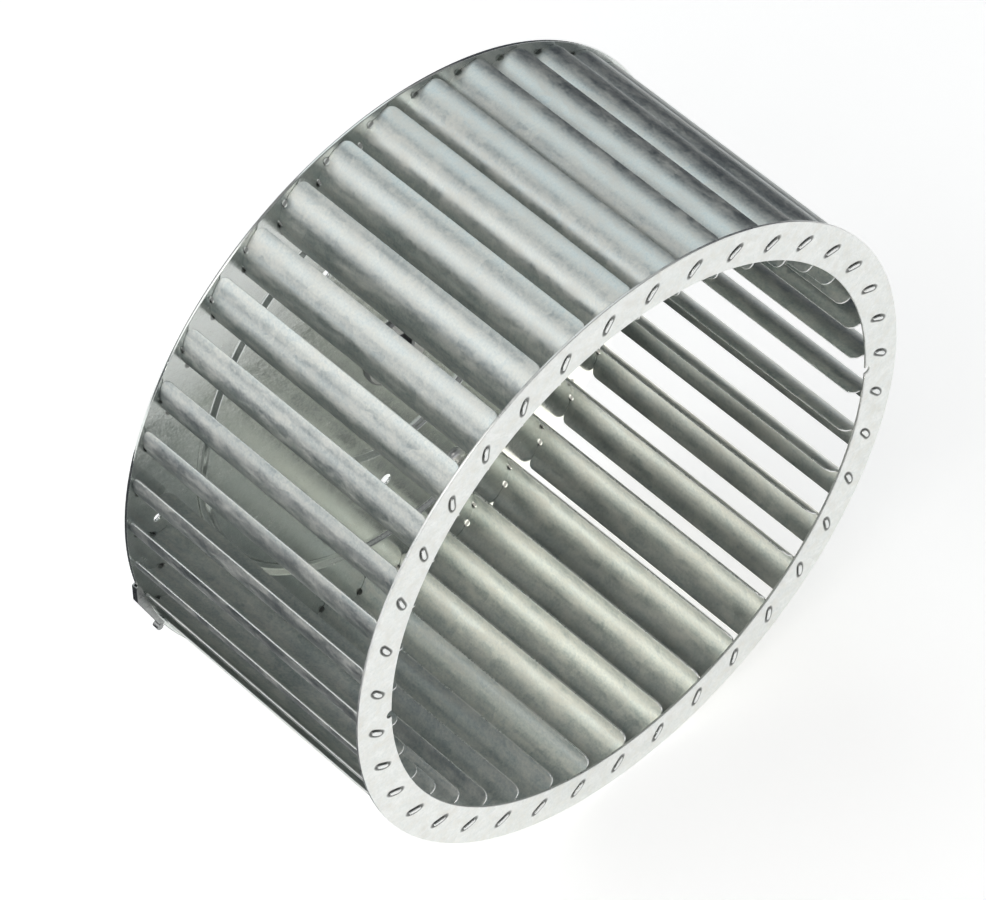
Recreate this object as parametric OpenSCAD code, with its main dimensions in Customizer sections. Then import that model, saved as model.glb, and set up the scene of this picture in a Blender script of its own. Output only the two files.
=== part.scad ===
// Forward-curved blower wheel, single inlet, for a direct-drive motor shaft.
// The spin axis is Y and the inlet ring faces -Y. The origin is the middle of the hub's bore.
// Every module below is drawn about local Z, with the inlet towards -Z, and wheel_axis() turns it onto Y.

/* [Wheel] */
// Outside diameter of the inlet ring
wheel_d = 241.3; // [236:0.1:260]
// Distance from the inlet ring's front face to the back plate's rear face
wheel_w = 113; // [80:0.5:150]

/* [Inlet ring] */
// Width of the ring's flat band
ring_band = 14.6; // [13.5:0.1:16]
// Thickness of the ring's sheet
ring_t = 1; // [0.8:0.1:1.5]
// Radius of the two index notches in the ring and of the index holes in the back plate
index_r = 1.5; // [1:0.1:2]
// Distance of the index notches and holes from the wheel's outside
index_inset = 14; // [13.9:0.1:14.5]

/* [Blades] */
// Number of blades
blade_count = 38; // [24:1:38]
// Thickness of the blade sheet
blade_t = 0.8; // [0.6:0.05:1]
// Radial depth of the blade row, from the wheel's outside to the blades' inner edges
blade_depth = 18.95; // [18:0.05:20]
// Radius of the blade's curve, at mid-thickness
blade_curve_r = 14.5; // [14:0.1:15]
// Angle that the blade's curve turns through, in degrees
blade_bend = 103; // [90:1:108]
// Radius of the rounded corners of each blade
blade_corner_r = 3; // [1:0.1:3.5]
// Turn of the first blade about the axis, in degrees
first_blade_at = 7.2; // [6:0.1:8.5]

/* [Blade tabs] */
// Distance of the tabs' middles from the wheel's outside
tab_inset = 7.75; // [7.3:0.05:8.2]
// Lean of the tab from the radial direction, in degrees
tab_lean = 42; // [40:1:44]
// Length of the tab along the blade's curve
tab_len = 5; // [4:0.1:5.5]
// Gap between a tab's faces and its slot
tab_gap = 0.1; // [0.05:0.05:0.2]
// Gap between a tab's ends and its slot
tab_end_gap = 0.5; // [0.2:0.05:0.5]
// How far the peened head of a tab stands off the sheet
peen_h = 0.4; // [0.2:0.1:0.8]
// How far the peened head overhangs its tab on each side
peen_lap = 0.25; // [0.25:0.05:0.4]
// Depth of the recess that peening leaves in the sheet round a tab
stake_depth = 0.4; // [0.2:0.05:0.5]
// How far that recess reaches out from the tab
stake_side = 0.7; // [0.55:0.05:0.9]
// Radius of the relief notches at the root of a tab
relief_r = 1.2; // [0.5:0.1:1.4]
// Distance from a tab's side to its relief notch
relief_gap = 0.3; // [0.2:0.05:0.5]

/* [Back plate] */
// How far the back plate's rim lies inside the inlet ring's
plate_inset = 0.95; // [0.5:0.05:1.2]
// Thickness of the back plate's sheet
plate_t = 1.2; // [1:0.1:1.5]
// Distance of the stiffening bead from the rim
bead_inset = 29.7; // [26:0.1:31]
// Width of the stiffening bead
bead_w = 5.4; // [5:0.1:6]
// Depth of the stiffening bead
bead_h = 1.6; // [0.8:0.1:2]
// Outside radius of the stepped hub seat
seat_r = 46; // [36:0.5:55]
// Depth of the stepped hub seat
seat_h = 2; // [1:0.1:3]

/* [Hub] */
// Diameter of the bore, for a 1/2 inch shaft
bore_d = 12.7; // [10:0.1:14]
// Length of the hub and its bore
hub_len = 25.4; // [24:0.1:32]
// Diameter of the hub's barrel
barrel_d = 28.6; // [27:0.1:32]
// Diameter of the shoulder that bears on the back plate
shoulder_d = 40; // [36:0.5:50]
// Thickness of that shoulder
shoulder_t = 3; // [2:0.1:3.5]
// Diameter of the spigot through the back plate
spigot_d = 24; // [22:0.1:25]
// Outside diameter of the lip that is rolled over inside the wheel
lip_d = 29; // [28:0.1:32]
// Height of that lip
lip_h = 1.6; // [1:0.1:2]

/* [Set screw] */
// Outside diameter of the set screw
screw_d = 7.9; // [6:0.1:9]
// Length of the set screw
screw_len = 7.4; // [6:0.1:7.6]
// Width across the flats of its hexagon socket
socket_af = 4; // [3:0.1:4.5]
// Depth of the socket
socket_depth = 3.5; // [2:0.1:4]

/* [Balancing pieces] */
// Distance of the balance rivet from the axis
rivet_at = 76; // [60:0.5:77]
// Turn of the balance rivet about the axis, in degrees
rivet_turn = 71; // [50:1:90]
// Diameter of the rivet's head
rivet_head_d = 7; // [5:0.1:7.5]
// Turn of the balance clip's corner about the axis, in degrees
clip_turn = 163.9; // [90:0.1:230]
// How far the balance clip's corner stands off the rim
clip_off = 2.6; // [1.8:0.1:4]
// Thickness of the balance clip's sheet
clip_t = 0.6; // [0.4:0.1:0.7]

/* [Hidden] */
$fn = 96;
FINE = 240;
wheel_r = wheel_d / 2;
eye_r = wheel_r - ring_band;
plate_r = wheel_r - plate_inset;
bead_r = plate_r - bead_inset;
index_at = wheel_r - index_inset;
pitch = 360 / blade_count;

// Places along the axis, with the hub's middle at 0
lip_z = -hub_len / 2;
seat_z = lip_z + lip_h;
plate_z = seat_z - seat_h;
plate_back_z = plate_z + plate_t;
seat_back_z = seat_z + plate_t;
ring_z = plate_back_z - wheel_w;
ring_back_z = ring_z + ring_t;
shoulder_z = seat_back_z + shoulder_t;
screw_z = (shoulder_z + hub_len / 2) / 2;

// The blade's curve: its centre, and the angles about that centre of its ends and of the tab's middle
tab_at = wheel_r - tab_inset;
curve_x = tab_at - blade_curve_r * sin(tab_lean);
curve_y = blade_curve_r * cos(tab_lean);
curve_at = norm([curve_x, curve_y]);
inner_edge_r = wheel_r - blade_depth;
curve_in = atan2(curve_y, curve_x) - acos(
    (inner_edge_r * inner_edge_r - curve_at * curve_at - blade_curve_r * blade_curve_r)
    / (2 * curve_at * blade_curve_r)
);
curve_out = curve_in + blade_bend;
curve_tab = tab_lean - 90;
function curve_turn(length) = length / blade_curve_r * 180 / PI;

// The back plate's two plain holes: distance from the axis, turn about it and radius
PLATE_HOLES = [[60, 97.5, 2.5], [68, -117.5, 2]];

// How far a cutting shape runs past what it cuts, in mm and in degrees
past = 1;
spare_turn = 5;
// How far a rounded corner's circle stands out of the blade's two edges, so that it crosses them
corner_bite = 0.02;
rivet_r = 2;
rivet_front_h = 2;
rivet_rear_h = 1.4;
hub_chamfer = 0.8;
running_gap = 0.05;
screw_tip_r = bore_d / 2 + 0.1;
screw_chamfer = 0.6;
clip_lap = 0.75;
clip_leg = 3.7;
clip_roll_r = 1.3;
clip_roll_gap = 0.1;

// The balance clip's outer edge, from its rolled end to its plain end: turn from its corner, and
// distance off the rim
CLIP_EDGE = [[-10, 1], [0, clip_off], [3.4, 0.9]];

function blade_name(i) = str("blade_", i < 10 ? "0" : "", i);

// Turns a piece drawn about Z onto the wheel's axis, Y
module wheel_axis() {
    rotate([-90, 0, 0]) children();
}

// Turns a piece to the place of blade i
module at_blade(i) {
    rotate([0, 0, first_blade_at + (i - 1) * pitch]) children();
}

// A strip bent to the blade's curve between two angles about the curve's centre, from z0 to z1
module curved_strip(from, to, thickness, z0, z1) {
    translate([curve_x, curve_y, z0])
        rotate([0, 0, from])
            rotate_extrude(angle = to - from)
                translate([blade_curve_r - thickness / 2, 0])
                    square([thickness, z1 - z0]);
}

// A strip centred on the tab: the tab grown by end_gap at its ends and by side_gap on its faces
module tab_strip(end_gap, side_gap, z0, z1) {
    half = curve_turn(tab_len / 2 + end_gap);
    curved_strip(curve_tab - half, curve_tab + half, blade_t + 2 * side_gap, z0, z1);
}

// One slot and its peening recess for each blade, in a sheet whose outer face is at outer_z
module tab_slots(outer_z, recess_z) {
    for (i = [1:blade_count])
        at_blade(i) {
            tab_strip(tab_end_gap, tab_gap, outer_z - past - plate_t, outer_z + past + plate_t);
            tab_strip(stake_side, stake_side, min(outer_z, recess_z), max(outer_z, recess_z));
        }
}

module inlet_ring() {
    color("gainsboro")
        difference() {
            translate([0, 0, ring_z]) cylinder(r = wheel_r, h = ring_t, $fn = FINE);
            translate([0, 0, ring_z - past]) cylinder(r = eye_r, h = ring_t + 2 * past, $fn = FINE);
            tab_slots(ring_z, ring_z + stake_depth);
            for (turn = [0, 180])
                rotate([0, 0, turn])
                    translate([index_at, 0, ring_z - past])
                        cylinder(r = index_r, h = ring_t + 2 * past);
        }
}

// The front line of the back plate's section, from the rim to the hub: [radius, height] points
function plate_line() = [
    [plate_r, plate_z],
    [bead_r, plate_z],
    [bead_r - bead_h, plate_z + bead_h],
    [bead_r - bead_w + bead_h, plate_z + bead_h],
    [bead_r - bead_w, plate_z],
    [seat_r, plate_z],
    [seat_r - seat_h, seat_z],
    [spigot_d / 2, seat_z]
];

module plate_hole(at, turn, r) {
    rotate([0, 0, turn]) translate([at, 0, plate_z - past]) cylinder(r = r, h = plate_t + 2 * past);
}

module back_plate() {
    front = plate_line();
    last = len(front) - 1;
    back = [for (i = [0:last]) front[last - i] + [0, plate_t]];
    color("silver")
        difference() {
            rotate_extrude($fn = FINE) polygon(concat(front, back));
            tab_slots(plate_back_z, plate_back_z - stake_depth);
            for (turn = [0, 180]) plate_hole(index_at, turn, index_r);
            for (hole = PLATE_HOLES) plate_hole(hole[0], hole[1], hole[2]);
            plate_hole(rivet_at, rivet_turn, rivet_r);
        }
}

// Stands a cutter on the blade's curve, with X out of the sheet and Y along the curve
module on_curve(angle, z) {
    translate([curve_x, curve_y, z]) rotate([0, 0, angle]) translate([blade_curve_r, 0, 0]) children();
}

// What rounding takes off a blade's corner; along is +1 at its inner edge and -1 at its outer edge,
// and up is +1 at the ring and -1 at the plate
module corner_cut(angle, z, along, up) {
    r = blade_corner_r;
    at = r - corner_bite;
    on_curve(angle, z)
        difference() {
            translate([-r, -r, -r]) cube([2 * r, 2 * r, 2 * r]);
            translate([0, along * at, up * at]) rotate([0, 90, 0]) cylinder(r = r, h = 4 * r, center = true);
        }
}

// What is cut away on both sides of the tab, from z0 to z1
module beside_tab(z0, z1) {
    half = curve_turn(tab_len / 2);
    thickness = blade_t + 2 * past;
    curved_strip(curve_in - spare_turn, curve_tab - half, thickness, z0, z1);
    curved_strip(curve_tab + half, curve_out + spare_turn, thickness, z0, z1);
}

// The two half-round notches at the root of the tab at height z
module tab_reliefs(z) {
    for (side = [-1, 1])
        on_curve(curve_tab + side * curve_turn(tab_len / 2 + relief_gap + relief_r), z)
            rotate([0, 90, 0])
                cylinder(r = relief_r, h = 4 * blade_t, center = true);
}

// One blade: the curved sheet with rounded corners, a tab at each end and the peened head on each tab
module blade(i) {
    z0 = ring_back_z;
    z1 = plate_z;
    color("lightsteelblue")
        at_blade(i) {
            difference() {
                curved_strip(curve_in, curve_out, blade_t, ring_z, plate_back_z);
                beside_tab(ring_z - past, z0);
                beside_tab(z1, plate_back_z + past);
                corner_cut(curve_in, z0, 1, 1);
                corner_cut(curve_in, z1, 1, -1);
                corner_cut(curve_out, z0, -1, 1);
                corner_cut(curve_out, z1, -1, -1);
                tab_reliefs(z0);
                tab_reliefs(z1);
            }
            tab_strip(0, peen_lap, ring_z - peen_h, ring_z + stake_depth);
            tab_strip(0, peen_lap, plate_back_z - stake_depth, plate_back_z + peen_h);
        }
}

// The hub's section: lip inside the wheel, spigot, shoulder and barrel
module hub_section() {
    inner = bore_d / 2;
    barrel = barrel_d / 2;
    polygon([
        [inner + hub_chamfer, lip_z],
        [lip_d / 2 - hub_chamfer, lip_z],
        [lip_d / 2, lip_z + hub_chamfer],
        [lip_d / 2, seat_z],
        [spigot_d / 2, seat_z],
        [spigot_d / 2, seat_back_z],
        [shoulder_d / 2 - hub_chamfer / 2, seat_back_z],
        [shoulder_d / 2, seat_back_z + hub_chamfer / 2],
        [shoulder_d / 2, shoulder_z - hub_chamfer],
        [shoulder_d / 2 - hub_chamfer, shoulder_z],
        [barrel, shoulder_z],
        [barrel, hub_len / 2 - hub_chamfer],
        [barrel - hub_chamfer, hub_len / 2],
        [inner + hub_chamfer, hub_len / 2],
        [inner, hub_len / 2 - hub_chamfer],
        [inner, lip_z + hub_chamfer]
    ]);
}

// Turns a piece drawn along Z onto the set screw's axis, which points straight up from the bore
module at_screw() {
    translate([0, 0, screw_z]) rotate([90, 0, 0]) children();
}

module hub() {
    color("lightgray")
        difference() {
            rotate_extrude() hub_section();
            at_screw() cylinder(r = screw_d / 2 + running_gap, h = barrel_d);
        }
}

module set_screw() {
    r = screw_d / 2;
    color("dimgray")
        at_screw()
            translate([0, 0, screw_tip_r])
                difference() {
                    rotate_extrude()
                        polygon([
                            [0, 0],
                            [r - 2 * screw_chamfer, 0],
                            [r, 2 * screw_chamfer],
                            [r, screw_len - screw_chamfer],
                            [r - screw_chamfer, screw_len],
                            [0, screw_len]
                        ]);
                    translate([0, 0, screw_len - socket_depth])
                        cylinder(d = socket_af / cos(30), h = socket_depth + past, $fn = 6);
                }
}

// A domed head whose flat side is at z = 0
module rivet_head(h) {
    r = rivet_head_d / 2;
    dome_r = (r * r + h * h) / (2 * h);
    intersection() {
        translate([0, 0, h - dome_r]) sphere(r = dome_r);
        cylinder(r = r + past, h = h + past);
    }
}

module balance_rivet() {
    color("whitesmoke")
        rotate([0, 0, rivet_turn])
            translate([rivet_at, 0, plate_z]) {
                cylinder(r = rivet_r, h = plate_t);
                translate([0, 0, plate_t]) rivet_head(rivet_rear_h);
                mirror([0, 0, 1]) rivet_head(rivet_front_h);
            }
}

function polar(r, turn) = [r * cos(turn), r * sin(turn)];

// The outline between the clip's outer edge, less the thickness inset, and a radius, from z0 to z1;
// overrun turns its two ends further out
module clip_blank(inset, inner_r, overrun, z0, z1) {
    last = len(CLIP_EDGE) - 1;
    turns = [for (i = [0:last]) CLIP_EDGE[i][0] + (i == 0 ? -overrun : i == last ? overrun : 0)];
    edge = [for (i = [0:last]) polar(plate_r + CLIP_EDGE[i][1] - inset, turns[i])];
    root = [for (i = [0:last]) polar(inner_r, turns[last - i])];
    translate([0, 0, z0]) linear_extrude(z1 - z0) polygon(concat(edge, root));
}

// A spring clip pushed over the rim: a lip in front, a wall outside, a leg behind and a rolled end
module balance_clip() {
    front_z = plate_z - clip_t;
    back_z = plate_back_z + clip_t;
    mid_z = (plate_z + plate_back_z) / 2;
    root_r = plate_r - clip_leg - past;
    color("white")
        rotate([0, 0, clip_turn]) {
            difference() {
                clip_blank(0, root_r, 0, front_z, back_z);
                clip_blank(clip_t, root_r - past, past, plate_z, plate_back_z);
                translate([0, 0, front_z - past])
                    cylinder(r = plate_r - clip_lap, h = mid_z - front_z + past, $fn = FINE);
                translate([0, 0, mid_z])
                    cylinder(r = plate_r - clip_leg, h = back_z - mid_z + past, $fn = FINE);
            }
            rotate([0, 0, CLIP_EDGE[0][0]])
                translate([plate_r + clip_roll_gap + clip_roll_r, 0, front_z - clip_roll_gap])
                    cylinder(r = clip_roll_r, h = back_z - front_z + 2 * clip_roll_gap);
        }
}

wheel_axis() inlet_ring();
wheel_axis() back_plate();
for (i = [1:blade_count])
    wheel_axis() blade(i);
wheel_axis() hub();
wheel_axis() set_screw();
wheel_axis() balance_rivet();
wheel_axis() balance_clip();
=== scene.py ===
"""Looks of a forward-curved blower wheel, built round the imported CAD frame.

Shapes are worked out in the wheel's own millimetres, about its spin axis: x to the right and y down as
seen from the inlet, z from the inlet to the back. to_frame() turns them into the frame's metres.
"""

import math
import random

import bpy
import numpy as np
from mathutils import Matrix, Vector, geometry, noise


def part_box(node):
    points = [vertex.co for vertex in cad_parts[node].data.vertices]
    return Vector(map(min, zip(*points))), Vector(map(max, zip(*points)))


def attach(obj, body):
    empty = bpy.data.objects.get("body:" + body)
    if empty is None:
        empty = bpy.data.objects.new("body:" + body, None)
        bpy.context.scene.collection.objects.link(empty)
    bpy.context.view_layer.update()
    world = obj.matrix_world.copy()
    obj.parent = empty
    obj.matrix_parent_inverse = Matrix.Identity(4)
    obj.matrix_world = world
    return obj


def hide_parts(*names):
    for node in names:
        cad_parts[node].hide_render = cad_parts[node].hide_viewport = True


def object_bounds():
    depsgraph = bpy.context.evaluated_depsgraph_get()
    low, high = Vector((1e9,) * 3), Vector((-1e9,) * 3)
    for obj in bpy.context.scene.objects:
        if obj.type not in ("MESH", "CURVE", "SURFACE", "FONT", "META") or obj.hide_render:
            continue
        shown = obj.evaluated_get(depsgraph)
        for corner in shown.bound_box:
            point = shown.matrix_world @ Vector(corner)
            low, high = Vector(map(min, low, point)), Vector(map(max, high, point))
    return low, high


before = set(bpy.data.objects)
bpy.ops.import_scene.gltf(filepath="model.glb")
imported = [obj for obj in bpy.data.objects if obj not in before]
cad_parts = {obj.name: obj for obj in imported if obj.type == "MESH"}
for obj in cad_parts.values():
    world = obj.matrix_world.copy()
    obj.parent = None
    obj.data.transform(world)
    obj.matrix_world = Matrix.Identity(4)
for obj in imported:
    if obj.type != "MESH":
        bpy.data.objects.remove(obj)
CAD_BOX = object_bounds()
MM = 0.001
FULL_TURN = 2 * math.pi

# ---------------------------------------------------------------- sizes, from the frame
RING_LOW, RING_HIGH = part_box("inlet_ring")
PLATE_LOW, PLATE_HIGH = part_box("back_plate")
SCREW_LOW, SCREW_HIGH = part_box("set_screw")
RIVET_LOW, RIVET_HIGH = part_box("balance_rivet")
WHEEL_R = RING_HIGH.x / MM
RING_FRONT = RING_LOW.y / MM
RING_BACK = RING_HIGH.y / MM
PLATE_R = PLATE_HIGH.x / MM
PLATE_FRONT = PLATE_LOW.y / MM
PLATE_T = 1.2
PLATE_BACK = PLATE_FRONT + PLATE_T

# The ring's band and the index notches and holes
EYE_R = WHEEL_R - 14.6
INDEX_AT = WHEEL_R - 14
INDEX_R = 1.5
INDEX_STEPS = 14

# The back plate: bead, stepped seat and plain holes (distance from the axis, turn in degrees, radius)
BEAD_OUT = PLATE_R - 29.7
BEAD_W = 5.4
BEAD_H = 1.6
BEAD_FLAT = 0.3
SEAT_R = 46
SEAT_H = PLATE_HIGH.y / MM - PLATE_BACK
SPIGOT_R = 12
PLATE_HOLES = ((60, 97.5, 2.5), (68, -117.5, 2), (INDEX_AT, 0, INDEX_R), (INDEX_AT, 180, INDEX_R))
SPIGOT_STEPS = 64
HOLE_STEPS = 24

# Circles of points on the plate: over the bead and the seat, as shares of their widths, and between them
BEAD_SHARES = (-1.15, -1, -0.85, -0.7, -0.55, -0.4, -0.2, 0, 0.2, 0.4, 0.55, 0.7, 0.85, 1, 1.15)
BEAD_STEPS = 180
SEAT_SHARES = (-0.25, 0, 0.2, 0.4, 0.6, 0.8, 1, 1.25)
SEAT_STEPS = 144
FLAT_RADII = (20, 28, 36, 52, 57, 63, 71, 76, 80, 94, 98, 102)
FLAT_STEPS = 96

# The plate's slight waves: their height, how close they are, and the layer of the noise they come from
PLATE_WAVE = 0.12
PLATE_WAVE_SCALE = 0.03
PLATE_WAVE_LAYER = 4.0

# The blades: a strip bent to one curve, with a tab at each end and relief notches beside the tab
BLADE_COUNT = 38
BLADE_T = 0.8
CURVE_R = 14.5
CURVE_BEND = math.radians(103)
TAB_LEAN = math.radians(42)
TAB_AT = WHEEL_R - 7.75
TAB_LEN = 5
CORNER_R = 3
RELIEF_R = 1.2
RELIEF_GAP = 0.3
FIRST_BLADE = math.radians(7.2)
PITCH = FULL_TURN / BLADE_COUNT
CURVE_X = TAB_AT - CURVE_R * math.sin(TAB_LEAN)
CURVE_Y = CURVE_R * math.cos(TAB_LEAN)
INNER_EDGE_R = WHEEL_R - 18.95
CURVE_AT = math.hypot(CURVE_X, CURVE_Y)
CURVE_IN = math.atan2(CURVE_Y, CURVE_X) - math.acos(
    (INNER_EDGE_R ** 2 - CURVE_AT ** 2 - CURVE_R ** 2) / (2 * CURVE_AT * CURVE_R)
)
CURVE_TAB = TAB_LEAN - math.pi / 2
BLADE_LEN = CURVE_R * CURVE_BEND
TAB_S = (CURVE_TAB - CURVE_IN) * CURVE_R

# The head left on a tab by peening: height off the sheet, half its length and half its width
PEEN_H = 0.4
PEENED_HEAD = (
    (-0.90, 2.35, 0.38),
    (-0.45, 2.40, 0.46),
    (-0.15, 2.55, 0.62),
    (0.05, 2.65, 0.74),
    (0.20, 2.60, 0.74),
    (0.32, 2.45, 0.62),
    (PEEN_H, 2.20, 0.42),
)
HEAD_POWER = 0.75
HEAD_STEPS = 24

# The soft oval recess that the punch leaves round a head, and the levels of the points put round it
RECESS_LONG = 3.9
RECESS_SHORT = 1.6
RECESS_DEEP = 0.42
RECESS_POWER = 2.5
RECESS_LEVELS = (1.12, 1.0, 0.9, 0.8, 0.7, 0.6, 0.5, 0.4)
RECESS_STEPS = 28

# Levels where the recess starts and reaches its floor, and where its painted shade starts and is full
RECESS_RIM = 1.0
RECESS_FLOOR = 0.6
RECESS_SHADE_FROM = 1.08
RECESS_SHADE_FULL = 0.92

# How far the painted shade of a slot's open end shows past its tab, its half width on the inner and the
# outer end, where it starts and is full, and the points put over it: the first one, their spacing, how
# many lie in a row and how many rows lie on each side of the middle one
SLOT_OPEN = 3.4
SLOT_INNER = 1.5
SLOT_OUTER = 1.0
SLOT_FROM = 1.15
SLOT_FULL = 0.75
SLOT_FIRST = RECESS_LONG + 0.45
SLOT_STEP = 0.42
SLOT_POINTS = 7
SLOT_ROWS = 4

# Most dust and painted shade in a blade's hollow, from 0 to 1, and where it starts and is full, along the
# blade's curve
HOLLOW_DUST_AND_SHADE = 0.55
DUST_AND_SHADE_FROM = 10
DUST_AND_SHADE_FULL = 24

# A blade's points: the spacing of the inner ones along its curve and their distances from its two ends,
# how many lie on each long edge, how much its length is squashed while it's triangulated, the steps round
# a corner and round a relief notch, and how many lie on an end before, on and after its tab
BLADE_STEP = 1.25
BLADE_ROWS = (2.2, 4.2, 7, 11, 16, 21, 26, 31, 36, 41, 46, 51)
BLADE_SIDE_POINTS = 21
BLADE_SQUASH = 0.3
CORNER_STEPS = 7
RELIEF_STEPS = 12
END_POINTS = (3, 2, 4)

# What tells one blade from the next: its outer edge's spring and its waves (height; then how close they
# are along the curve and along the axis, and the step of the noise from blade to blade)
BLADE_SPRING = 0.3
BLADE_WAVE = 0.025
BLADE_WAVE_SCALE = (0.13, 0.03, 7.3)

# The clouds in a blade's dust and painted shade, given in the same way, and how uneven a peened head's
# width and place are
DUST_AND_SHADE_CLOUD = 0.5
DUST_AND_SHADE_CLOUD_SCALE = (0.12, 0.05, 3.1)
HEAD_WIDTHS = (0.88, 1.12)
HEAD_SLIDE = 0.15

# How far a sheet's rounded edge reaches in from its outline, how much of the face's normal it keeps, the
# angle from which the edges of the other shapes stay sharp, how close two points are one, and the small
# step that gives a face's normal
EDGE = 0.2
EDGE_LEAN = 0.35
SHARP_FROM = math.radians(38)
SAME_POINT = 1e-5
NORMAL_STEP = 0.02
CIRCLE_STEPS = 240

# The set screw: its socket, its thread, the cup in its tip and the chamfers of its ends
SOCKET_AF = 4
SOCKET_DEEP = 3.5
SOCKET_BEVEL = 0.25
SOCKET_CONE = 0.5
SOCKET_CONE_R = 0.4
THREAD_PITCH = 1.3
THREAD_DEEP = 0.5
THREAD_POWER = 0.6
CUP_DEEP = 0.9
CUP_R = 0.4
CUP_EDGE = 0.62
TIP_CHAMFER = 1.2
TOP_CHAMFER = 0.6
CHAMFER_DEEP = 0.9
SCREW_STEPS = 48
SCREW_ROW = 0.1

# The balance rivet: where it sits, the radii of its shank, its heads and their tips, how far inside the
# plate its shank begins, and the powers that shape its two domes
RIVET_AT = 76
RIVET_TURN = math.radians(71)
RIVET_R = 2
RIVET_HEAD_R = 3.5
RIVET_TIP_R = 0.1
RIVET_INSIDE = 0.1
RIVET_FRONT_POWER = 0.8
RIVET_REAR_POWER = 0.6
RIVET_ROWS = 9
RIVET_STEPS = 40

# The camera, the floor's own light and the surrounding light, in metres and degrees
AIM = (-0.0038, -0.0621, -0.0061)
CAMERA_AZIMUTH = -43.06
CAMERA_ELEVATION = 48.77
CAMERA_FAR = 2.0137
CAMERA_LENS = 224.0
SENSOR_WIDTH = 36
FLOOR_GLOW = 0.54
SKY_LOW = (0.26, 0.29, 0.33)
SKY_HIGH = (1.0, 1.0, 1.0)
SKY_HIGH_FROM = 0.7
SKY_POWER = 0.32
WHITE = (1.0, 1.0, 1.0)

# Colours that lie over the metal: pale bloom, worn edges, dust and painted shade, and the cards' cloth
BLOOM = (0.88, 0.87, 0.81, 1)
WORN = (0.93, 0.94, 0.93, 1)
SHADE_AND_DUST_COLOUR = (0.10, 0.105, 0.10, 1)
CLOTH = (0.05, 0.055, 0.065, 1)
CLOTH_LIGHT = (0.07, 0.075, 0.09, 1)


def to_frame(x, y, z):
    """A point in the wheel's own millimetres as a point in the frame."""
    return Vector((x, z, -y)) * MM


def turned(x, y, turn):
    """A flat point turned about the axis."""
    return x * math.cos(turn) - y * math.sin(turn), x * math.sin(turn) + y * math.cos(turn)


def smooth(low, high, value):
    """0 below low, 1 above high and a smooth step between; low may be the larger one."""
    t = min(max((value - low) / (high - low), 0.0), 1.0)
    return t * t * (3 - 2 * t)


# ---------------------------------------------------------------- mesh making
class Shape:
    """The vertices, faces, normals and paint values of one piece in the making."""

    def __init__(self):
        self.points = []
        self.faces = []
        self.normals = []
        self.wear = []
        self.shade_and_dust = []

    def add(self, point, normal=None, wear=0.0, shade_and_dust=0.0):
        self.points.append(point)
        self.normals.append(normal)
        self.wear.append(wear)
        self.shade_and_dust.append(shade_and_dust)
        return len(self.points) - 1

    def strip(self, first, second):
        """Quads between two closed loops of the same length."""
        count = len(first)
        for k in range(count):
            after = (k + 1) % count
            self.faces.append((first[k], first[after], second[after], second[k]))

    def build(self, name, material, node, body="wheel"):
        """Makes the piece, in place of the CAD node that is named."""
        mesh = bpy.data.meshes.new(name)
        mesh.from_pydata(self.points, [], self.faces)
        mesh.validate()
        for polygon in mesh.polygons:
            polygon.use_smooth = True
        for title, values in (("wear", self.wear), ("shade_and_dust", self.shade_and_dust)):
            layer = mesh.attributes.new(title, "FLOAT", "POINT")
            layer.data.foreach_set("value", values)
        if any(normal is not None for normal in self.normals):
            own = [vertex.normal.copy() for vertex in mesh.vertices]
            mesh.normals_split_custom_set_from_vertices(
                [normal or own[k] for k, normal in enumerate(self.normals)]
            )
        else:
            mesh.set_sharp_from_angle(angle=SHARP_FROM)
        mesh.materials.append(material)
        piece = bpy.data.objects.new(name, mesh)
        bpy.context.scene.collection.objects.link(piece)
        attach(piece, body)
        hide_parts(node)


def face_normal(place, x, y, side):
    """The outward normal of a sheet's face, by small steps on the placed surface."""
    along = place(x + NORMAL_STEP, y, side) - place(x - NORMAL_STEP, y, side)
    across = place(x, y + NORMAL_STEP, side) - place(x, y - NORMAL_STEP, side)
    return along.cross(across).normalized() * side


def within(loops, corners, triangles):
    """The triangles whose middles lie inside the outer loop and outside the holes."""
    middles = np.array(corners)[np.array(triangles)].mean(axis=1)
    x, y = middles[:, 0], middles[:, 1]
    inside = np.zeros(len(middles), bool)
    for loop in loops:
        for (ax, ay), (bx, by) in zip(loop, loop[1:] + loop[:1]):
            if ay != by:
                inside ^= ((ay > y) != (by > y)) & (x < ax + (y - ay) * (bx - ax) / (by - ay))
    return [triangle for triangle, kept in zip(triangles, inside) if kept]


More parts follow.
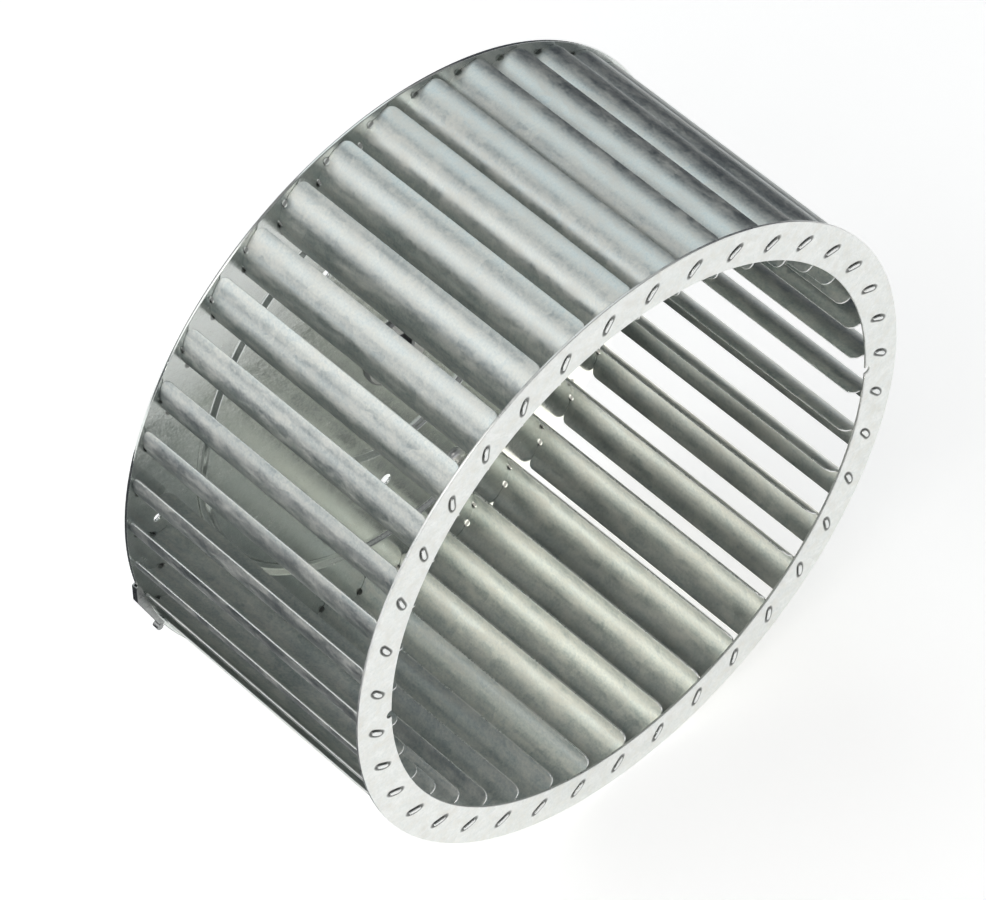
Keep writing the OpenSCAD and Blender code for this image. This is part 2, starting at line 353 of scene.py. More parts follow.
def sheet(shape, outline, spots, place, paint, thickness, squash=1.0):
    """Adds a closed sheet with rounded edges.

    outline(inset) gives the closed outlines, outer one first and anticlockwise, holes clockwise. spots are
    further points of the faces. place(x, y, side) puts a flat point on the face of side 1 or -1, or between
    them. paint(x, y, side) gives the dust and painted shade there. squash scales y while the faces are
    triangulated.
    """
    inner = outline(EDGE)
    flat = []
    edges = []
    for loop in inner:
        start = len(flat)
        flat += loop
        edges += [(start + k, start + (k + 1) % len(loop)) for k in range(len(loop))]
    flat += spots
    squashed = [Vector((x, y * squash)) for x, y in flat]
    made = geometry.delaunay_2d_cdt(squashed, edges, [], 0, SAME_POINT)
    corners = [(x, y / squash) for x, y in made[0]]
    triangles, origins = made[2], made[3]
    triangles = within(inner, corners, triangles)
    where = {}
    for k, sources in enumerate(origins):
        for source in sources:
            where[source] = k
    sides = {}
    for side in (1, -1):
        ids = []
        for x, y in corners:
            normal = face_normal(place, x, y, side)
            ids.append(shape.add(place(x, y, side), normal, 0.0, paint(x, y, side)))
        for a, b, c in triangles:
            shape.faces.append((ids[a], ids[b], ids[c]) if side > 0 else (ids[c], ids[b], ids[a]))
        sides[side] = ids
    rim = 1 - 2 * EDGE / thickness
    start = 0
    for loop, inset_loop in zip(outline(0), inner):
        rows = {}
        count = len(loop)
        for side in (1, -1):
            row = []
            for k, (x, y) in enumerate(loop):
                nx, ny = inset_loop[k]
                point = place(x, y, side * rim)
                outward = (place(x, y, 0) - place(nx, ny, 0)).normalized()
                lean = face_normal(place, x, y, side) * EDGE_LEAN
                row.append(shape.add(point, (outward + lean).normalized(), 1.0, 0.0))
            rows[side] = row
        front = [sides[1][where[start + k]] for k in range(count)]
        back = [sides[-1][where[start + k]] for k in range(count)]
        shape.strip(rows[1], front)
        shape.strip(rows[-1], rows[1])
        shape.strip(back, rows[-1])
        start += count


def loft(shape, loops, wear=0.0):
    """Adds a closed solid through loops of the same length, with flat ends."""
    rows = [[shape.add(point, None, wear) for point in loop] for loop in loops]
    for below, above in zip(rows, rows[1:]):
        shape.strip(below, above)
    shape.faces.append(tuple(reversed(rows[0])))
    shape.faces.append(tuple(rows[-1]))


# ---------------------------------------------------------------- tab recesses
def recess_place(x, y):
    """Where a point lies beside the nearest tab: along and across the tab, in mm."""
    turn = math.atan2(y, x) - FIRST_BLADE
    turn -= round(turn / PITCH) * PITCH
    radius = math.hypot(x, y)
    bx, by = radius * math.cos(turn) - CURVE_X, radius * math.sin(turn) - CURVE_Y
    return (math.atan2(by, bx) - CURVE_TAB) * CURVE_R, math.hypot(bx, by) - CURVE_R


def recess_level(x, y):
    """1 at the edge of the tab's oval recess, less inside it and more outside it."""
    u, v = recess_place(x, y)
    total = abs(u / RECESS_LONG) ** RECESS_POWER + abs(v / RECESS_SHORT) ** RECESS_POWER
    return total ** (1 / RECESS_POWER)


def recess(x, y):
    """Depth of the recess, as a share of its full depth."""
    return smooth(RECESS_RIM, RECESS_FLOOR, recess_level(x, y))


def slot_end_shade(x, y):
    """Painted shade where the open end of a tab's slot shows on the plate's front, from 0 to 1; the sheet
    has no hole there.
    """
    u, v = recess_place(x, y)
    past_tab = (abs(u) - TAB_LEN / 2 - SLOT_OPEN / 2) / (SLOT_OPEN / 2)
    wide = SLOT_INNER if u < 0 else SLOT_OUTER
    return smooth(SLOT_FROM, SLOT_FULL, math.hypot(past_tab, v / wide))


def recess_shade(x, y):
    """Painted shade in the recess, from 0 to 1."""
    return smooth(RECESS_SHADE_FROM, RECESS_SHADE_FULL, recess_level(x, y))


def squared_oval(a, half_long, half_wide, power):
    """The point at angle a of an oval; a power below 1 makes it squarer than an ellipse."""
    u = half_long * math.copysign(abs(math.cos(a)) ** power, math.cos(a))
    v = half_wide * math.copysign(abs(math.sin(a)) ** power, math.sin(a))
    return u, v


def recess_spots():
    """Points on ovals round every tab."""
    spots = []
    for i in range(BLADE_COUNT):
        for level in RECESS_LEVELS:
            for k in range(RECESS_STEPS):
                a = FULL_TURN * k / RECESS_STEPS
                u, v = squared_oval(a, RECESS_LONG * level, RECESS_SHORT * level, 2 / RECESS_POWER)
                spots.append(beside_blade(i, u, v))
    return spots


def beside_blade(i, u, v):
    """The point at u along and v across the curve of blade i, from its tab's middle."""
    turn = FIRST_BLADE + i * PITCH
    angle = CURVE_TAB + u / CURVE_R
    bx = CURVE_X + (CURVE_R + v) * math.cos(angle)
    by = CURVE_Y + (CURVE_R + v) * math.sin(angle)
    return turned(bx, by, turn)


def slot_spots():
    """Points over the open ends of every slot."""
    steps = [k * SLOT_STEP for k in range(-SLOT_ROWS, SLOT_ROWS + 1)]
    return [
        beside_blade(i, sign * (SLOT_FIRST + k * SLOT_STEP), v)
        for i in range(BLADE_COUNT)
        for sign in (-1, 1)
        for k in range(SLOT_POINTS)
        for v in steps
    ]


def circle(radius, steps, at=(0, 0), clockwise=False):
    """Points round a circle."""
    sign = -1 if clockwise else 1
    angles = [sign * FULL_TURN * k / steps for k in range(steps)]
    return [(at[0] + radius * math.cos(a), at[1] + radius * math.sin(a)) for a in angles]


# ---------------------------------------------------------------- inlet ring
def eye_outline(inset):
    """The ring's inner edge, clockwise, with a half-round index notch on the right and on the left."""
    inner = EYE_R + inset
    bite = INDEX_R + inset
    half = math.acos((inner ** 2 + INDEX_AT ** 2 - bite ** 2) / (2 * inner * INDEX_AT))
    swing = math.atan2(inner * math.sin(half), inner * math.cos(half) - INDEX_AT)
    points = []
    for turn in (0, -math.pi):
        for k in range(INDEX_STEPS + 1):
            a = -swing * (1 - 2 * k / INDEX_STEPS)
            x, y = INDEX_AT + bite * math.cos(-a), bite * math.sin(-a)
            points.append(turned(x, y, turn))
        steps = CIRCLE_STEPS // 2
        for k in range(1, steps):
            a = turn - half - (math.pi - 2 * half) * k / steps
            points.append((inner * math.cos(a), inner * math.sin(a)))
    return points


def make_ring(material):
    """The flat stamped inlet ring. Side -1 is its front face, which has the recesses of the peened tabs."""
    thickness = RING_BACK - RING_FRONT
    middle = (RING_FRONT + RING_BACK) / 2

    def place(x, y, side):
        sink = RECESS_DEEP * recess(x, y) if side < 0 else 0.0
        return to_frame(x, y, middle + side * thickness / 2 + sink)

    def outline(inset):
        return [circle(WHEEL_R - inset, CIRCLE_STEPS), eye_outline(inset)]

    # Painted shade in the tab recesses of the front face
    def paint(x, y, side):
        return recess_shade(x, y) if side < 0 else 0.0

    shape = Shape()
    sheet(shape, outline, recess_spots(), place, paint, thickness)
    shape.build("inlet_ring_sheet", material, "inlet_ring")


# ---------------------------------------------------------------- back plate
def plate_rise(radius):
    """How far the back plate's section stands behind its flat: the stiffening bead and the hub's seat."""
    half = BEAD_W / 2
    bead = BEAD_H * smooth(1.0, BEAD_FLAT, abs(radius - BEAD_OUT + half) / half)
    return bead + SEAT_H * smooth(SEAT_R, SEAT_R - SEAT_H, radius)


def plate_spots():
    """Points on circles where the section bends, and a few between them for the sheet's slight waves."""
    spots = recess_spots() + slot_spots()
    half = BEAD_W / 2
    for share in BEAD_SHARES:
        spots += circle(BEAD_OUT - half + share * half, BEAD_STEPS)
    for share in SEAT_SHARES:
        spots += circle(SEAT_R - share * SEAT_H, SEAT_STEPS)
    for radius in FLAT_RADII:
        spots += circle(radius, FLAT_STEPS)
    return [spot for spot in spots if clear_of_holes(spot)]


def clear_of_holes(spot):
    """True if a point keeps clear of the back plate's plain holes."""
    for at, turn, radius in PLATE_HOLES:
        hx, hy = at * math.cos(math.radians(turn)), at * math.sin(math.radians(turn))
        if math.hypot(spot[0] - hx, spot[1] - hy) < radius + 3 * EDGE:
            return False
    return True


def make_plate(material):
    """The back plate. Side 1 is its rear face, which has the recesses of the peened tabs."""

    def place(x, y, side):
        sink = RECESS_DEEP * recess(x, y) if side > 0 else 0.0
        radius = math.hypot(x, y)
        spot = Vector((x * PLATE_WAVE_SCALE, y * PLATE_WAVE_SCALE, PLATE_WAVE_LAYER))
        wave = PLATE_WAVE * noise.noise(spot)
        z = (PLATE_FRONT + PLATE_BACK) / 2 + side * PLATE_T / 2
        return to_frame(x, y, z + plate_rise(radius) + wave * smooth(PLATE_R, BEAD_OUT, radius) - sink)

    def outline(inset):
        loops = [
            circle(PLATE_R - inset, CIRCLE_STEPS),
            circle(SPIGOT_R + inset, SPIGOT_STEPS, clockwise=True),
        ]
        for at, turn, radius in PLATE_HOLES:
            spot = (at * math.cos(math.radians(turn)), at * math.sin(math.radians(turn)))
            loops.append(circle(radius + inset, HOLE_STEPS, spot, clockwise=True))
        return loops

    # Painted shade in the tab recesses of the rear face and at the open slot ends of the front face
    def paint(x, y, side):
        return recess_shade(x, y) if side > 0 else slot_end_shade(x, y)

    shape = Shape()
    sheet(shape, outline, plate_spots(), place, paint, PLATE_T)
    shape.build("back_plate_sheet", material, "back_plate")


# ---------------------------------------------------------------- blades
def between(first, last, count):
    """Evenly spaced points between two flat points, without the two."""
    dx, dy = last[0] - first[0], last[1] - first[1]
    return [(first[0] + dx * k / (count + 1), first[1] + dy * k / (count + 1)) for k in range(1, count + 1)]


def blade_end(inset, tab_out):
    """One end of the flattened blade, from its inner edge to its outer one: (along the curve, into it)."""
    arc = CORNER_R - inset
    corner = []
    for k in range(CORNER_STEPS + 1):
        a = math.pi / 2 * k / CORNER_STEPS
        corner.append((CORNER_R - arc * math.cos(a), CORNER_R - arc * math.sin(a)))
    bite = RELIEF_R + inset
    swing = math.asin(inset / bite)
    away = TAB_LEN / 2 + RELIEF_GAP + RELIEF_R
    notches = []
    for middle in (TAB_S - away, TAB_S + away):
        notch = []
        for k in range(RELIEF_STEPS + 1):
            a = math.pi - swing - (math.pi - 2 * swing) * k / RELIEF_STEPS
            notch.append((middle + bite * math.cos(a), bite * math.sin(a)))
        notches.append(notch)
    left, right = TAB_S - TAB_LEN / 2 + inset, TAB_S + TAB_LEN / 2 - inset
    low = inset - tab_out
    before, on_tab, after = END_POINTS
    tip = [(left, low), *between((left, low), (right, low), on_tab), (right, low)]
    tab = [(left, inset), *tip, (right, inset)]
    far = [(BLADE_LEN - s, d) for s, d in reversed(corner)]
    return (
        corner + between(corner[-1], notches[0][0], before) + notches[0] + tab + notches[1]
        + between(notches[1][-1], far[0], after) + far
    )


def blade_outline(inset):
    """The flattened blade: along its curve, and from the ring to the plate."""
    ring_end = [(s, RING_BACK + d) for s, d in blade_end(inset, RING_BACK - RING_FRONT)]
    plate_end = [(s, PLATE_FRONT - d) for s, d in reversed(blade_end(inset, PLATE_T))]
    up = between(ring_end[-1], plate_end[0], BLADE_SIDE_POINTS)
    down = between(plate_end[-1], ring_end[0], BLADE_SIDE_POINTS)
    return [ring_end + up + plate_end + down]


def blade_spots():
    """Points inside the flattened blade, closer together near its ends."""
    middle = (RING_BACK + PLATE_FRONT) / 2
    half = (PLATE_FRONT - RING_BACK) / 2
    across = [k * BLADE_STEP for k in range(1, int(BLADE_LEN / BLADE_STEP))]
    return [
        (s, middle + sign * (half - inward))
        for s in across
        for sign in (-1, 1)
        for inward in BLADE_ROWS
        if inward > CORNER_R + 1 or CORNER_R < s < BLADE_LEN - CORNER_R
    ]


def make_blade(i, material):
    """Blade i: the curved sheet, its tabs and the peened heads on them."""
    dice = random.Random(i)
    turn = FIRST_BLADE + (i - 1) * PITCH
    lean = dice.uniform(-1, 1)

    def at(angle, radius, z):
        x = CURVE_X + radius * math.cos(angle)
        y = CURVE_Y + radius * math.sin(angle)
        return to_frame(*turned(x, y, turn), z)

    def noise_at(s, z, scale):
        return noise.noise(Vector((s * scale[0], z * scale[1], i * scale[2])))

    def place(s, z, side):
        spring = BLADE_SPRING * lean * ((s - TAB_S) / BLADE_LEN) ** 2
        wave = BLADE_WAVE * noise_at(s, z, BLADE_WAVE_SCALE)
        return at(CURVE_IN + s / CURVE_R, CURVE_R + side * BLADE_T / 2 + spring + wave, z)

    # Dust with painted shade in the deep part of the hollow side
    def paint(s, z, side):
        """Dust and painted shade in the blade's hollow, deeper towards its outer edge."""
        if side > 0:
            return 0.0
        cloud = DUST_AND_SHADE_CLOUD * noise_at(s, z, DUST_AND_SHADE_CLOUD_SCALE)
        return HOLLOW_DUST_AND_SHADE * smooth(DUST_AND_SHADE_FROM, DUST_AND_SHADE_FULL, s) * (1 + cloud)

    shape = Shape()
    sheet(shape, blade_outline, blade_spots(), place, paint, BLADE_T, BLADE_SQUASH)
    for end, outer in ((-1, RING_FRONT), (1, PLATE_BACK)):
        fat = dice.uniform(*HEAD_WIDTHS)
        slide = dice.uniform(-HEAD_SLIDE, HEAD_SLIDE)
        loops = []
        for rise, half_long, half_wide in PEENED_HEAD:
            loop = []
            for k in range(HEAD_STEPS):
                a = FULL_TURN * k / HEAD_STEPS
                u, v = squared_oval(a, half_long, half_wide * fat, HEAD_POWER)
                loop.append(at(CURVE_TAB + (u + slide) / CURVE_R, CURVE_R + v, outer + end * rise))
            loops.append(loop)
        loft(shape, loops if end > 0 else loops[::-1], wear=1.0)
    node = f"blade_{i:02d}"
    shape.build(node + "_sheet", material, node)


# ---------------------------------------------------------------- small parts
def make_screw(material):
    """The set screw: a threaded body with a cup point and a hexagon socket."""
    radius = (SCREW_HIGH.x - SCREW_LOW.x) / 2 / MM
    low, high = SCREW_LOW.z / MM, SCREW_HIGH.z / MM
    centre = (SCREW_LOW.y + SCREW_HIGH.y) / 2 / MM

    def loop(h, reach):
        points = []
        for k in range(SCREW_STEPS):
            a = FULL_TURN * k / SCREW_STEPS
            r = reach(a)
            points.append(to_frame(r * math.cos(a), -h, centre + r * math.sin(a)))
        return points

    def hexagon(a):
        side = math.pi / 3
        return SOCKET_AF / 2 / math.cos((a % side) - side / 2)

    def thread(h):
        chamfer = min(1.0, (h - low) / TIP_CHAMFER, (high - h) / TOP_CHAMFER)

        def reach(a):
            crest = 0.5 + 0.5 * math.cos(FULL_TURN * (h / THREAD_PITCH) - a)
            cut = THREAD_DEEP * (1 - crest ** THREAD_POWER)
            return min(radius - cut, radius - CHAMFER_DEEP * (1 - chamfer))

        return reach

    loops = [loop(low + CUP_DEEP, lambda a: CUP_R), loop(low, lambda a: radius * CUP_EDGE)]
    rows = int((high - low) / SCREW_ROW)
    heights = [low + (high - low) * k / rows for k in range(rows + 1)]
    loops += [loop(h, thread(h)) for h in heights]
    floor = high - SOCKET_DEEP
    loops += [loop(high, lambda a: hexagon(a) + SOCKET_BEVEL), loop(high - SOCKET_BEVEL, hexagon)]
    loops += [loop(floor, hexagon), loop(floor - SOCKET_CONE, lambda a: SOCKET_CONE_R)]
    shape = Shape()
    loft(shape, loops)
    shape.build("set_screw_threaded", material, "set_screw", body="set_screw")


def make_rivet(material):
    """The balance rivet: a domed head in front of the plate and a set tail behind it."""
    low, high = RIVET_LOW.y / MM, RIVET_HIGH.y / MM
    x = RIVET_AT * math.cos(RIVET_TURN)
    y = RIVET_AT * math.sin(RIVET_TURN)
    front = PLATE_FRONT - low
    rear = high - PLATE_BACK
    shares = [math.sin(math.pi / 2 * k / RIVET_ROWS) for k in range(1, RIVET_ROWS + 1)]
    profile = [(RIVET_TIP_R, low)]
    for share in shares:
        rise = front * math.sqrt(1 - share * share) ** RIVET_FRONT_POWER
        profile.append((RIVET_HEAD_R * share, PLATE_FRONT - rise))
    profile += [(RIVET_R, PLATE_FRONT + RIVET_INSIDE), (RIVET_R, PLATE_BACK - RIVET_INSIDE)]
    for share in reversed(shares):
        rise = rear * math.sqrt(1 - share * share) ** RIVET_REAR_POWER
        profile.append((RIVET_HEAD_R * share, PLATE_BACK + rise))
    profile.append((RIVET_TIP_R, high))
    shape = Shape()
    loft(shape, [[to_frame(px, py, z) for px, py in circle(r, RIVET_STEPS, (x, y))] for r, z in profile])
    shape.build("balance_rivet_turned", material, "balance_rivet")


# ---------------------------------------------------------------- materials
class Recipe:
    """A material's node tree, with short calls for the nodes that are used here."""

    def __init__(self, name):
        self.material = bpy.data.materials.new(name)
        self.material.use_nodes = True
        self.tree = self.material.node_tree
        self.shader = self.tree.nodes["Principled BSDF"]
        self.place = self.tree.nodes.new("ShaderNodeTexCoord").outputs["Object"]

    def add(self, kind, inputs, **settings):
        made = self.tree.nodes.new("ShaderNode" + kind)
        for key, value in settings.items():
            setattr(made, key, value)
        for key, value in inputs.items():
            self.feed(made.inputs[key], value)
        return made

    def feed(self, socket, value):
        if isinstance(value, bpy.types.NodeSocket):
            self.tree.links.new(value, socket)
        else:
            socket.default_value = value

    def stretched(self, scale):
        return self.add("Mapping", {"Vector": self.place, "Scale": scale}).outputs["Vector"]

    def noise(self, where, scale, detail=3.0, roughness=0.55):
        inputs = {"Vector": where, "Scale": scale, "Detail": detail, "Roughness": roughness}
        return self.add("TexNoise", inputs).outputs["Fac"]

    def math(self, operation, first, second=0.0):
        return self.add("Math", {0: first, 1: second}, operation=operation).outputs[0]

    def about_half(self, value, strength):
        """How far a value lies above or below a half, times a strength."""
        return self.math("MULTIPLY", self.math("SUBTRACT", value, 0.5), strength)

    def span(self, value, low, high, to_low, to_high):
        inputs = {"Value": value, "From Min": low, "From Max": high, "To Min": to_low, "To Max": to_high}
        return self.add("MapRange", inputs).outputs["Result"]

    def mix(self, share, first, second):
        made = self.tree.nodes.new("ShaderNodeMix")
        made.data_type = "RGBA"
        self.feed(made.inputs["Factor"], share)
        self.feed(made.inputs["A"], first)
        self.feed(made.inputs["B"], second)
        return made.outputs["Result"]

    def attribute(self, title):
        return self.add("Attribute", {}, attribute_name=title).outputs["Fac"]


# Galvanised sheet: how fine each pattern is, how much each shifts the tone and how much relief each has
WARP_SCALE = 90.0
WARP_SHARE = 0.012
CRYSTAL_SCALE = 210.0
PATCH_SCALE = 34.0
SPECK_SCALE = 900.0
CLOUD_SCALE = 230.0
CRYSTAL_TONE = 0.5
STREAK_TONE = 0.9
SPECK_TONE = 1.4
PATCH_TONE = 0.3
SPECK_RELIEF = 0.25
STREAK_RELIEF = 0.5
CRYSTAL_RELIEF = 0.35

# The part of the cloud noise that becomes bloom, and how strongly dust and painted shade cover the metal
BLOOM_FROM = 0.45
BLOOM_FULL = 0.68
SHADE_AND_DUST_COVER = 0.85

# What tone, bloom and wear add to the roughness, and how much of the metal's shine full bloom takes
TONE_MATT = 0.22
BLOOM_MATT = 0.2
WEAR_MATT = 0.12
BLOOM_DULL = 0.5


def zinc(name, light, dark, rough, streaks, spangle, bloom, worn=0.7):
    """Galvanised sheet between two colours, with rolling streaks from streaks().

    spangle is how much its crystals show, bloom how much pale bloom lies on it, and worn how bright its
    edges are.
    """
    made = Recipe(name)
    warp = made.add("TexNoise", {"Vector": made.place, "Scale": WARP_SCALE, "Detail": 2.0}).outputs["Color"]
    bent = made.mix(WARP_SHARE, made.place, warp)
    cells = made.add("TexVoronoi", {"Vector": bent, "Scale": CRYSTAL_SCALE}, feature="F1")
    grain = made.add("SeparateColor", {"Color": cells.outputs["Color"]}).outputs["Red"]
    patches = made.noise(made.place, PATCH_SCALE, detail=4.0, roughness=0.6)
    speck = made.noise(made.place, SPECK_SCALE, detail=2.0, roughness=0.7)
    lines = made.noise(streaks(made), 1.0, detail=4.0, roughness=0.65)

    tone = made.about_half(grain, CRYSTAL_TONE * spangle)
    tone = made.math("ADD", tone, made.about_half(lines, STREAK_TONE))
    tone = made.math("ADD", tone, made.about_half(speck, SPECK_TONE))
    tone = made.math("ADD", tone, made.about_half(patches, PATCH_TONE))
    tone = made.add("Clamp", {"Value": made.math("ADD", tone, 0.5)}).outputs["Result"]
    colour = made.mix(tone, (*dark, 1), (*light, 1))
    cloud = made.noise(made.stretched((1.0, 0.35, 1.0)), CLOUD_SCALE, detail=5.0, roughness=0.7)
    chalk = made.span(cloud, BLOOM_FROM, BLOOM_FULL, 0.0, bloom)
    colour = made.mix(chalk, colour, BLOOM)
    wear = made.attribute("wear")
    colour = made.mix(made.math("MULTIPLY", wear, worn), colour, WORN)
    # Painted shade in the tab recesses and slot ends, and dust with painted shade in the blade hollows
    shade_and_dust = made.attribute("shade_and_dust")
    colour = made.mix(made.math("MULTIPLY", shade_and_dust, SHADE_AND_DUST_COVER), colour, SHADE_AND_DUST_COLOUR)
    made.feed(made.shader.inputs["Base Color"], colour)

    matt = made.math("ADD", rough, made.about_half(tone, TONE_MATT))
    matt = made.math("ADD", matt, made.math("MULTIPLY", chalk, BLOOM_MATT))
    matt = made.math("SUBTRACT", matt, made.math("MULTIPLY", wear, WEAR_MATT))
    made.feed(made.shader.inputs["Roughness"], matt)
    metal = made.math("SUBTRACT", 1.0, made.math("MULTIPLY", chalk, BLOOM_DULL))
    made.feed(made.shader.inputs["Metallic"], metal)

    fine = made.math("MULTIPLY", speck, SPECK_RELIEF)
    height = made.math("ADD", fine, made.math("MULTIPLY", lines, STREAK_RELIEF))
    height = made.math("ADD", height, made.math("MULTIPLY", grain, CRYSTAL_RELIEF * spangle))
    bump = made.add("Bump", {"Height": height, "Strength": 0.16, "Distance": 0.0002})
    made.feed(made.shader.inputs["Normal"], bump.outputs["Normal"])
    return made.material


def rolled_along(made):
    """Streak coordinates that run along the wheel's axis."""
    return made.stretched((420.0, 9.0, 420.0))


def rolled_across(made):
    """Streak coordinates of a flat sheet that was rolled in one direction."""
    return made.stretched((16.0, 200.0, 260.0))


# How fine turning lines are, and how dark turned steel is between them
TURNING_SCALE = 4200.0
TURNED_DARK = 0.62


def turned_steel(name, colour, rough):
    """Machined steel with fine turning lines about the wheel's axis."""
    made = Recipe(name)
    parts = made.add("SeparateXYZ", {"Vector": made.place})
    x, y, z = parts.outputs["X"], parts.outputs["Y"], parts.outputs["Z"]
    radius = made.math("SQRT", made.math("ADD", made.math("MULTIPLY", x, x), made.math("MULTIPLY", z, z)))
    outward = made.math("MULTIPLY", radius, TURNING_SCALE)
    along = made.math("MULTIPLY", y, TURNING_SCALE)
    rings = made.add("CombineXYZ", {"X": outward, "Y": along}).outputs["Vector"]
    lines = made.noise(rings, 1.0, detail=2.0, roughness=0.5)
    patches = made.noise(made.place, 160.0, detail=3.0, roughness=0.6)
    tone = made.math("ADD", made.math("MULTIPLY", lines, 0.5), made.math("MULTIPLY", patches, 0.5))
    dark = tuple(TURNED_DARK * c for c in colour)
    made.feed(made.shader.inputs["Base Color"], made.mix(tone, (*dark, 1), (*colour, 1)))
    made.feed(made.shader.inputs["Metallic"], 1.0)
    made.feed(made.shader.inputs["Roughness"], made.span(tone, 0.2, 0.8, rough - 0.08, rough + 0.1))
    bump = made.add("Bump", {"Height": lines, "Strength": 0.2, "Distance": 0.0001})
    made.feed(made.shader.inputs["Normal"], bump.outputs["Normal"])
    return made.material


def floor_paint():
    """A plain pale studio floor."""
    made = Recipe("studio_floor")
    cloud = made.noise(made.place, 3.0, detail=2.0, roughness=0.5)
    paint = made.mix(cloud, (0.90, 0.90, 0.90, 1), (0.93, 0.93, 0.93, 1))
    made.feed(made.shader.inputs["Base Color"], paint)
    made.feed(made.shader.inputs["Roughness"], 0.9)
    made.feed(made.shader.inputs["Specular IOR Level"], 0.1)
    made.feed(made.shader.inputs["Emission Color"], (1, 1, 1, 1))
    made.feed(made.shader.inputs["Emission Strength"], FLOOR_GLOW)
    return made.material


def dress(node, material):
    """Puts a material on a CAD node that is shown as it is."""
    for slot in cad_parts[node].material_slots:
        slot.material = material


# ---------------------------------------------------------------- camera, floor and light
def aim(thing, spot):
    """Turns a camera or lamp to look at a spot."""
    thing.rotation_mode = "QUATERNION"
    thing.rotation_quaternion = (Vector(spot) - thing.location).to_track_quat("-Z", "Y")


def around(azimuth, elevation, distance):
    """A place round the aim point; azimuth 0 is in front of the inlet, and 90 is to its right."""
    a, e = math.radians(azimuth), math.radians(elevation)
    out = Vector((math.sin(a) * math.cos(e), -math.cos(a) * math.cos(e), math.sin(e)))
    return Vector(AIM) + distance * out


def make_camera():
    """The camera at the viewing angle, with a long lens."""
    data = bpy.data.cameras.new("camera")
    data.lens = CAMERA_LENS
    data.sensor_width = SENSOR_WIDTH
    data.clip_start = 0.05
    data.clip_end = 50
    camera = bpy.data.objects.new("camera", data)
    bpy.context.scene.collection.objects.link(camera)
    camera.location = around(CAMERA_AZIMUTH, CAMERA_ELEVATION, CAMERA_FAR)
    aim(camera, AIM)
    bpy.context.scene.camera = camera


def make_floor():
    """A wide floor under the wheel's lowest edge."""
    half = 6.0
    low = CAD_BOX[0].z
    mesh = bpy.data.meshes.new("floor")
    corners = [(-half, -half, low), (half, -half, low), (half, half, low), (-half, half, low)]
    mesh.from_pydata(corners, [], [(0, 1, 2, 3)])
    mesh.materials.append(floor_paint())
    floor = bpy.data.objects.new("floor", mesh)
    bpy.context.scene.collection.objects.link(floor)


def panel(name, place, spot, size, power, colour):
    """A rectangular area lamp at a place, aimed at a spot."""
    data = bpy.data.lights.new(name, "AREA")
    data.shape = "RECTANGLE"
    data.size, data.size_y = size
    data.energy = power
    data.color = colour
    lamp = bpy.data.objects.new(name, data)
    bpy.context.scene.collection.objects.link(lamp)
    lamp.location = place
    aim(lamp, spot)
    return lamp


def softbox(name, azimuth, elevation, distance, size, power, colour=WHITE):
    """A studio lamp aimed at the wheel."""
    panel(name, around(azimuth, elevation, distance), AIM, size, power, colour)


def make_underlight():
    """A warm panel on the floor under the wheel's right side, which the camera doesn't see."""
    place = Vector((0.10, -0.018, CAD_BOX[0].z + MM))
    above = place + Vector((0, 0, 1))
    lamp = panel("underlight", place, above, size=(0.30, 0.20), power=0.19, colour=(1.0, 0.91, 0.78))
    lamp.visible_camera = False


def make_card(name, corners):
    """A dark card that the camera doesn't see, to give the metal something dark to reflect."""
    mesh = bpy.data.meshes.new(name)
    mesh.from_pydata(corners, [], [(0, 1, 2, 3)])
    made = Recipe(name + "_cloth")
    weave = made.noise(made.place, 400.0)
    made.feed(made.shader.inputs["Base Color"], made.mix(weave, CLOTH, CLOTH_LIGHT))
    made.feed(made.shader.inputs["Roughness"], 1.0)
    mesh.materials.append(made.material)
    card = bpy.data.objects.new(name, mesh)
    bpy.context.scene.collection.objects.link(card)
    card.visible_camera = False
    return card


def make_flags():
    """A card beyond the wheel on the right, and one on the floor at the left that only reflections show."""
    low = CAD_BOX[0].z
    make_card("right_flag", [(1.1, -0.5, low), (0.6, 1.6, low), (0.6, 1.6, 0.8), (1.1, -0.5, 0.8)])
    low += 2 * MM
    card = make_card(
        "floor_flag", [(-0.5, -0.32, low), (-0.18, -0.32, low), (-0.02, 0.24, low), (-0.5, 0.24, low)]
    )
    card.visible_diffuse = False
    card.visible_shadow = False


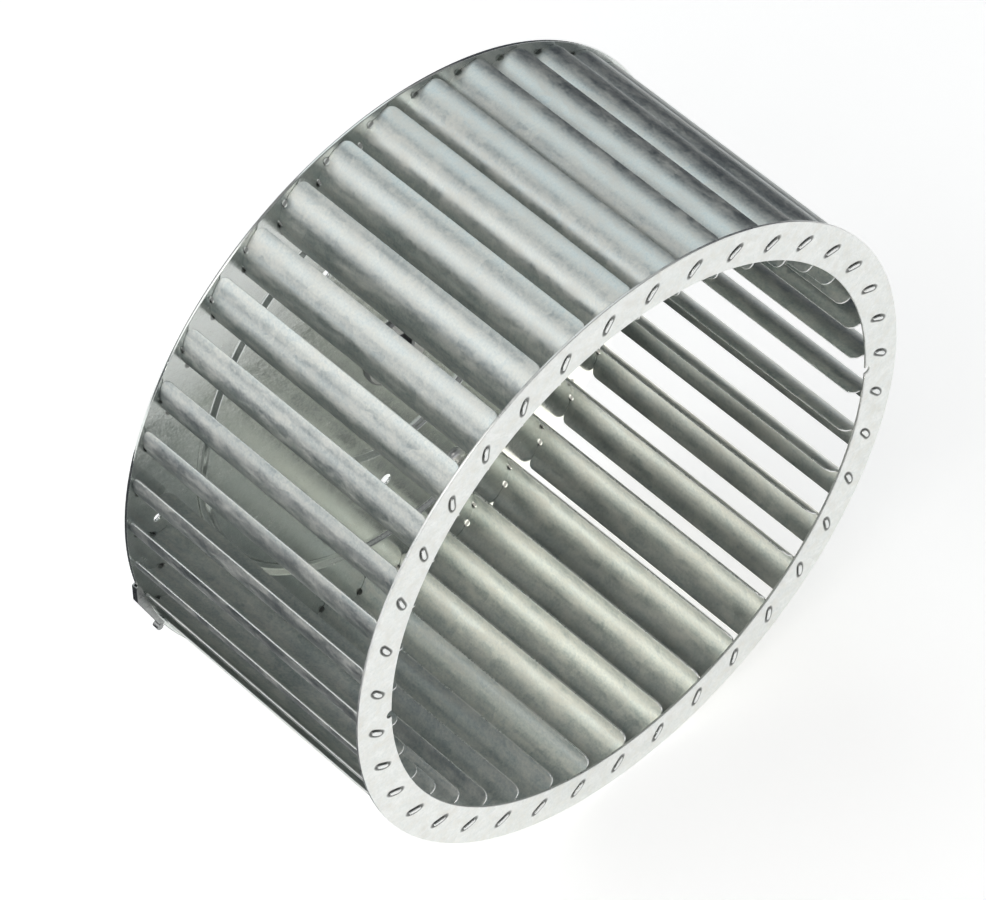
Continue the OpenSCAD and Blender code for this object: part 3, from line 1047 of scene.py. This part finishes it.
def make_sky():
    """Soft surrounding light: bright above, dimmer and a little blue towards the horizon."""
    world = bpy.data.worlds.new("studio")
    world.use_nodes = True
    bpy.context.scene.world = world
    tree = world.node_tree
    back = tree.nodes["Background"]
    way = tree.nodes.new("ShaderNodeTexCoord").outputs["Generated"]
    height = tree.nodes.new("ShaderNodeSeparateXYZ")
    tree.links.new(way, height.inputs["Vector"])
    ramp = tree.nodes.new("ShaderNodeValToRGB")
    tree.links.new(height.outputs["Z"], ramp.inputs["Fac"])
    ramp.color_ramp.elements[0].position = 0.0
    ramp.color_ramp.elements[0].color = (*SKY_LOW, 1)
    ramp.color_ramp.elements[1].position = SKY_HIGH_FROM
    ramp.color_ramp.elements[1].color = (*SKY_HIGH, 1)
    tree.links.new(ramp.outputs["Color"], back.inputs["Color"])
    back.inputs["Strength"].default_value = SKY_POWER


# ---------------------------------------------------------------- the scene
make_camera()
make_floor()
make_sky()
softbox(
    "key", azimuth=-112, elevation=34, distance=2.2,
    size=(1.8, 1.5), power=12.0, colour=(1.0, 0.995, 0.98),
)
softbox(
    "side", azimuth=-60, elevation=42, distance=2.0,
    size=(0.8, 0.8), power=7.5, colour=(1.0, 0.97, 0.92),
)
softbox(
    "top", azimuth=160, elevation=60, distance=2.4,
    size=(1.5, 1.5), power=7.0, colour=(0.90, 0.98, 1.0),
)
softbox("gleam", azimuth=-80, elevation=12, distance=2.5, size=(0.12, 0.12), power=2.0)
make_underlight()
make_flags()

blade_zinc = zinc(
    "blade_zinc", light=(0.80, 0.82, 0.78), dark=(0.43, 0.49, 0.50), rough=0.40,
    streaks=rolled_along, spangle=0.7, bloom=0.5,
)
ring_zinc = zinc(
    "ring_zinc", light=(0.96, 0.97, 0.95), dark=(0.76, 0.79, 0.77), rough=0.44,
    streaks=rolled_across, spangle=0.7, bloom=0.6,
)
plate_zinc = zinc(
    "plate_zinc", light=(0.74, 0.77, 0.75), dark=(0.56, 0.59, 0.58), rough=0.18,
    streaks=rolled_across, spangle=0.5, bloom=0.1, worn=0.1,
)
clip_zinc = zinc(
    "clip_zinc", light=(0.40, 0.41, 0.41), dark=(0.22, 0.23, 0.23), rough=0.32,
    streaks=rolled_across, spangle=0.4, bloom=0.1,
)
hub_steel = turned_steel("hub_turned", colour=(0.62, 0.63, 0.64), rough=0.3)
screw_steel = turned_steel("screw_black_oxide", colour=(0.12, 0.12, 0.13), rough=0.42)
rivet_metal = turned_steel("rivet_aluminium", colour=(0.86, 0.87, 0.88), rough=0.3)

make_ring(ring_zinc)
make_plate(plate_zinc)
for number in range(1, BLADE_COUNT + 1):
    make_blade(number, blade_zinc)
make_screw(screw_steel)
make_rivet(rivet_metal)
dress("hub", hub_steel)
dress("balance_clip", clip_zinc)

bpy.context.scene.view_settings.view_transform = "Standard"
